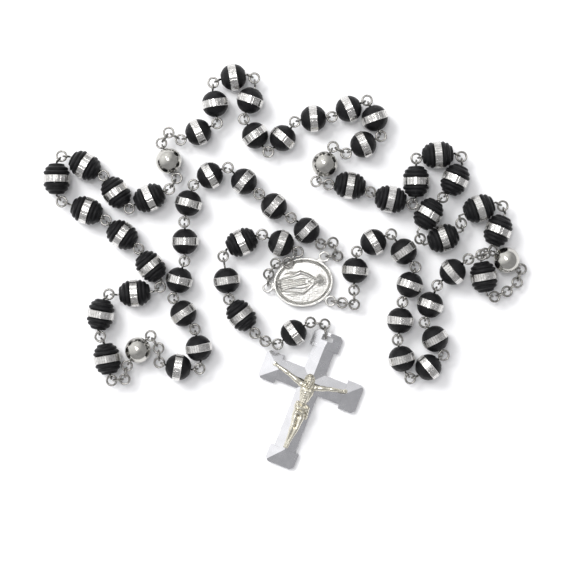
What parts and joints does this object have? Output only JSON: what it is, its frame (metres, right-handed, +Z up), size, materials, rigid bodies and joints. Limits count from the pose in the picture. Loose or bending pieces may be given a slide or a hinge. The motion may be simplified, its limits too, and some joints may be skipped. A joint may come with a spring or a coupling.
{
  "type": "rosary",
  "caption": "Rosary laid out in loose curves, with banded black beads on wire links, steel spacer balls, an oval centre medal and a crucifix at the end of a short pendant",
  "frame": {"origin": "centre of the flat back of the oval medal, on the table", "axes": "+Z up from the table, +X along the long way of the laid-out loop, +Y away from the foot of the crucifix"},
  "size_m": [0.1454, 0.1221, 0.0094],
  "materials": {
    "black_bead": "matte black with a fine woven-looking surface texture",
    "band_steel": "bright steel, cut in narrow flat facets",
    "ball_steel": "smooth polished steel, a little darker than the rings",
    "wire_steel": "drawn wire, half bright",
    "medal_silver": "stamped and softly polished, greyer in the hollows",
    "cross_silver": "polished flat faces",
    "corpus_silver": "cast, warm silver, softly polished"
  },
  "bodies": {
    "loop": {"medal": "medal_silver", "medal_chain_rings": "wire_steel", "loop_chain_rings": "wire_steel", "ball_eye_pins": "wire_steel", "pendant_upper_chain": "wire_steel", "decade_b_last_beads": "black_bead", "decade_b_last_bands": "band_steel", "decade_b_last_wires": "wire_steel"},
    "decade_a": {"decade_a_beads": "black_bead", "decade_a_bands": "band_steel", "decade_a_wires": "wire_steel"},
    "decade_b_first": {"decade_b_first_beads": "black_bead", "decade_b_first_bands": "band_steel", "decade_b_first_wires": "wire_steel"},
    "decade_b_middle": {"decade_b_middle_beads": "black_bead", "decade_b_middle_bands": "band_steel", "decade_b_middle_wires": "wire_steel"},
    "decade_c_first": {"decade_c_first_beads": "black_bead", "decade_c_first_bands": "band_steel", "decade_c_first_wires": "wire_steel"},
    "decade_c_last": {"decade_c_last_beads": "black_bead", "decade_c_last_bands": "band_steel", "decade_c_last_wires": "wire_steel"},
    "decade_d": {"decade_d_beads": "black_bead", "decade_d_bands": "band_steel", "decade_d_wires": "wire_steel"},
    "decade_e_first": {"decade_e_first_beads": "black_bead", "decade_e_first_bands": "band_steel", "decade_e_first_wires": "wire_steel"},
    "decade_e_last": {"decade_e_last_beads": "black_bead", "decade_e_last_bands": "band_steel", "decade_e_last_wires": "wire_steel"},
    "ball_1": {"steel_ball_1": "ball_steel"},
    "ball_2": {"steel_ball_2": "ball_steel"},
    "ball_3": {"steel_ball_3": "ball_steel"},
    "ball_4": {"steel_ball_4": "ball_steel"},
    "pendant_link_1": {"pendant_pin_1": "wire_steel"},
    "pendant_bead_1": {"pendant_bead_1": "black_bead", "pendant_band_1": "band_steel"},
    "pendant_link_2": {"pendant_ring_1": "wire_steel", "pendant_pin_2": "wire_steel"},
    "pendant_bead_2": {"pendant_bead_2": "black_bead", "pendant_band_2": "band_steel"},
    "pendant_link_3": {"pendant_ring_2": "wire_steel", "pendant_pin_3": "wire_steel"},
    "pendant_bead_3": {"pendant_bead_3": "black_bead", "pendant_band_3": "band_steel"},
    "pendant_link_4": {"pendant_ring_3": "wire_steel", "pendant_pin_4": "wire_steel"},
    "pendant_bead_4": {"pendant_bead_4": "black_bead", "pendant_band_4": "band_steel"},
    "pendant_link_5": {"pendant_pin_5": "wire_steel"},
    "pendant_bead_5": {"pendant_bead_5": "black_bead", "pendant_band_5": "band_steel"},
    "pendant_chain": {"pendant_ring_4": "wire_steel", "pendant_lower_chain": "wire_steel"},
    "crucifix_links": {"crucifix_links": "wire_steel"},
    "jump_ring": {"jump_ring": "wire_steel"},
    "crucifix": {"cross": "cross_silver", "corpus": "corpus_silver"}
  },
  "joints": [
    {"name": "lift_decade_a", "type": "hinge", "parent": "loop", "child": "decade_a", "pos_m": [-0.03545, 0.04322, 0.00405], "axis": [0.9969, -0.0781, 0], "range_deg": [0, 40]},
    {"name": "lift_decade_b_first", "type": "hinge", "parent": "loop", "child": "decade_b_first", "pos_m": [0.00903, 0.02956, 0.00405], "axis": [0.995, -0.0994, 0.0076], "range_deg": [0, 38]},
    {"name": "lift_decade_b_middle", "type": "hinge", "parent": "loop", "child": "decade_b_middle", "pos_m": [0.04058, 0.02469, 0.00514], "axis": [-0.996, 0.0654, 0.0606], "range_deg": [0, 40]},
    {"name": "lift_decade_c_first", "type": "hinge", "parent": "loop", "child": "decade_c_first", "pos_m": [0.04819, 0.006, 0.00574], "axis": [-0.9762, -0.1868, -0.1104], "range_deg": [0, 40]},
    {"name": "lift_decade_c_last", "type": "hinge", "parent": "loop", "child": "decade_c_last", "pos_m": [0.03269, 0.00565, 0.00405], "axis": [0.9357, 0.3529, 0], "range_deg": [0, 40]},
    {"name": "lift_decade_d", "type": "hinge", "parent": "loop", "child": "decade_d", "pos_m": [-0.05787, -0.0281, 0.00405], "axis": [0.2821, 0.9594, 0], "range_deg": [0, 28]},
    {"name": "lift_decade_e_first", "type": "hinge", "parent": "loop", "child": "decade_e_first", "pos_m": [-0.03221, -0.01553, 0.00405], "axis": [-0.7284, -0.6851, 0], "range_deg": [0, 40]},
    {"name": "lift_decade_e_last", "type": "hinge", "parent": "loop", "child": "decade_e_last", "pos_m": [0.00414, 0.01239, 0.00405], "axis": [0.8288, 0.5595, 0], "range_deg": [0, 40]},
    {"name": "spin_ball_1", "type": "hinge", "parent": "loop", "child": "ball_1", "pos_m": [-0.0404, 0.0364, 0.0039], "axis": [-0.3746, 0.9272, 0], "continuous": true},
    {"name": "spin_ball_2", "type": "hinge", "parent": "loop", "child": "ball_2", "pos_m": [0.0064, 0.0354, 0.0039], "axis": [-0.4226, -0.9063, 0], "continuous": true},
    {"name": "spin_ball_3", "type": "hinge", "parent": "loop", "child": "ball_3", "pos_m": [0.061, 0.0066, 0.0039], "axis": [-0.7969, 0.498, 0.342], "continuous": true},
    {"name": "spin_ball_4", "type": "hinge", "parent": "loop", "child": "ball_4", "pos_m": [-0.0496, -0.0204, 0.0039], "axis": [-0.5736, -0.8192, 0], "continuous": true},
    {"name": "lift_pendant_link_1", "type": "hinge", "parent": "loop", "child": "pendant_link_1", "pos_m": [-0.0028, 0.00992, 0.00405], "axis": [0.6626, -0.749, 0], "range_deg": [0, 35]},
    {"name": "spin_pendant_bead_1", "type": "hinge", "parent": "pendant_link_1", "child": "pendant_bead_1", "pos_m": [-0.0067, 0.0117, 0.00405], "axis": [-0.9272, 0.3746, 0], "continuous": true},
    {"name": "lift_pendant_link_2", "type": "hinge", "parent": "pendant_link_1", "child": "pendant_link_2", "pos_m": [-0.01109, 0.01359, 0.00405], "axis": [-0.9063, 0.4226, 0], "range_deg": [0, 35]},
    {"name": "spin_pendant_bead_2", "type": "hinge", "parent": "pendant_link_2", "child": "pendant_bead_2", "pos_m": [-0.0185, 0.012, 0.00405], "axis": [-0.9063, -0.4226, 0], "continuous": true},
    {"name": "lift_pendant_link_3", "type": "hinge", "parent": "pendant_link_2", "child": "pendant_link_3", "pos_m": [-0.02344, 0.00906, 0.00405], "axis": [0.9063, 0.4226, 0], "range_deg": [0, 35]},
    {"name": "spin_pendant_bead_3", "type": "hinge", "parent": "pendant_link_3", "child": "pendant_bead_3", "pos_m": [-0.023, 0.0005, 0.00405], "axis": [0.1392, -0.9903, 0], "continuous": true},
    {"name": "lift_pendant_link_4", "type": "hinge", "parent": "pendant_link_3", "child": "pendant_link_4", "pos_m": [-0.02248, -0.00363, 0.00405], "axis": [0.9659, 0.2588, 0], "range_deg": [0, 35]},
    {"name": "spin_pendant_bead_4", "type": "hinge", "parent": "pendant_link_4", "child": "pendant_bead_4", "pos_m": [-0.0186, -0.01, 0.00405], "axis": [0.6157, -0.788, 0], "continuous": true},
    {"name": "lift_pendant_chain", "type": "hinge", "parent": "pendant_link_4", "child": "pendant_chain", "pos_m": [-0.01544, -0.01412, 0.00405], "axis": [0.9659, 0.2588, 0], "range_deg": [0, 30]},
    {"name": "lift_pendant_link_5", "type": "hinge", "parent": "pendant_chain", "child": "pendant_link_5", "pos_m": [-0.00652, -0.01775, 0.00405], "axis": [0.7547, 0.6561, 0], "range_deg": [0, 20]},
    {"name": "spin_pendant_bead_5", "type": "hinge", "parent": "pendant_link_5", "child": "pendant_bead_5", "pos_m": [-0.0029, -0.0152, 0.00405], "axis": [0.8192, 0.5736, 0], "continuous": true},
    {"name": "lift_crucifix_links", "type": "hinge", "parent": "pendant_link_5", "child": "crucifix_links", "pos_m": [0.00087, -0.01273, 0.0039], "axis": [0.5, -0.866, 0], "range_deg": [0, 35]},
    {"name": "swing_jump_ring", "type": "hinge", "parent": "crucifix_links", "child": "jump_ring", "pos_m": [0.00663, -0.0141, 0.00257], "axis": [-0.995, -0.0995, 0], "range_deg": [0, 30]},
    {"name": "swing_crucifix", "type": "hinge", "parent": "jump_ring", "child": "crucifix", "pos_m": [0.00786, -0.01575, 0.0022], "axis": [-0.9317, 0.3633, 0], "range_deg": [0, 60]}
  ]
}
